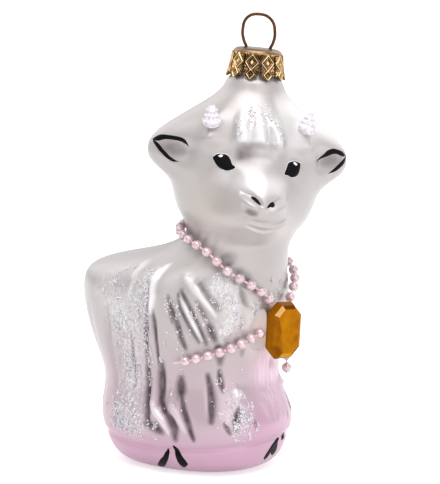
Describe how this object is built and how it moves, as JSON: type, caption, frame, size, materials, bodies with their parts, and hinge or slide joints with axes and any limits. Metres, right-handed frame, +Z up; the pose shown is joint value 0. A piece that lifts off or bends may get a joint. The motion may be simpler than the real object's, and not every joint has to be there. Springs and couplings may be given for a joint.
{
  "type": "goat christmas ornament",
  "caption": "Hollow blown-glass goat tree ornament with a stamped metal cap, a sprung wire hanger, crusted horns, a pearl bead strand and a glued octagonal stone.",
  "frame": {"origin": "middle of the flat foot that the ornament stands on", "axes": "+Z up through the cap, -Y towards the face and the viewer, +X towards the chest and the goat's left"},
  "size_m": [0.0657, 0.0552, 0.1134],
  "materials": {
    "pearl_glass": "silvered inside, pearl lacquer outside",
    "gold_cap": "stamped, satin gold",
    "copper_wire": "drawn copper tone",
    "glitter_paste": "iridescent glitter crust",
    "pink_pearl": "pearl",
    "pink_thread": "plain",
    "amber_stone": "faceted, polished",
    "clear_glue": "dried glue"
  },
  "bodies": {
    "glass": {"glass_body": "pearl_glass", "horn_right": "glitter_paste", "horn_left": "glitter_paste", "stone": "amber_stone", "glue_dab": "clear_glue", "neck_thread": "pink_thread", "right_tail_thread": "pink_thread", "left_tail_thread": "pink_thread", "neck_bead_01": "pink_pearl", "neck_bead_02": "pink_pearl", "neck_bead_03": "pink_pearl", "neck_bead_04": "pink_pearl", "neck_bead_05": "pink_pearl", "neck_bead_06": "pink_pearl", "neck_bead_07": "pink_pearl", "neck_bead_08": "pink_pearl", "neck_bead_09": "pink_pearl", "neck_bead_10": "pink_pearl", "neck_bead_11": "pink_pearl", "neck_bead_12": "pink_pearl", "neck_bead_13": "pink_pearl", "neck_bead_14": "pink_pearl", "neck_bead_15": "pink_pearl", "neck_bead_16": "pink_pearl", "neck_bead_17": "pink_pearl", "neck_bead_18": "pink_pearl", "neck_bead_19": "pink_pearl", "neck_bead_20": "pink_pearl", "neck_bead_21": "pink_pearl", "neck_bead_22": "pink_pearl", "neck_bead_23": "pink_pearl", "neck_bead_24": "pink_pearl", "neck_bead_25": "pink_pearl", "neck_bead_26": "pink_pearl", "neck_bead_27": "pink_pearl", "right_tail_bead_01": "pink_pearl", "right_tail_bead_02": "pink_pearl", "right_tail_bead_03": "pink_pearl", "right_tail_bead_04": "pink_pearl", "right_tail_bead_05": "pink_pearl", "right_tail_bead_06": "pink_pearl", "right_tail_bead_07": "pink_pearl", "right_tail_bead_08": "pink_pearl", "left_tail_bead_01": "pink_pearl", "left_tail_bead_02": "pink_pearl", "left_tail_bead_03": "pink_pearl", "left_tail_bead_04": "pink_pearl"},
    "cap": {"cap": "gold_cap"},
    "hanger": {"hanger_wire": "copper_wire"}
  },
  "joints": [
    {"name": "cap_pull", "type": "slide", "parent": "glass", "child": "cap", "axis": [0.0941, 0, 0.9956], "range_m": [0, 0.022]},
    {"name": "hanger_tilt", "type": "hinge", "parent": "cap", "child": "hanger", "pos_m": [0.01493, -0.00757, 0.10455], "axis": [0.9956, 0, -0.0941], "range_deg": [-8, 8]}
  ]
}
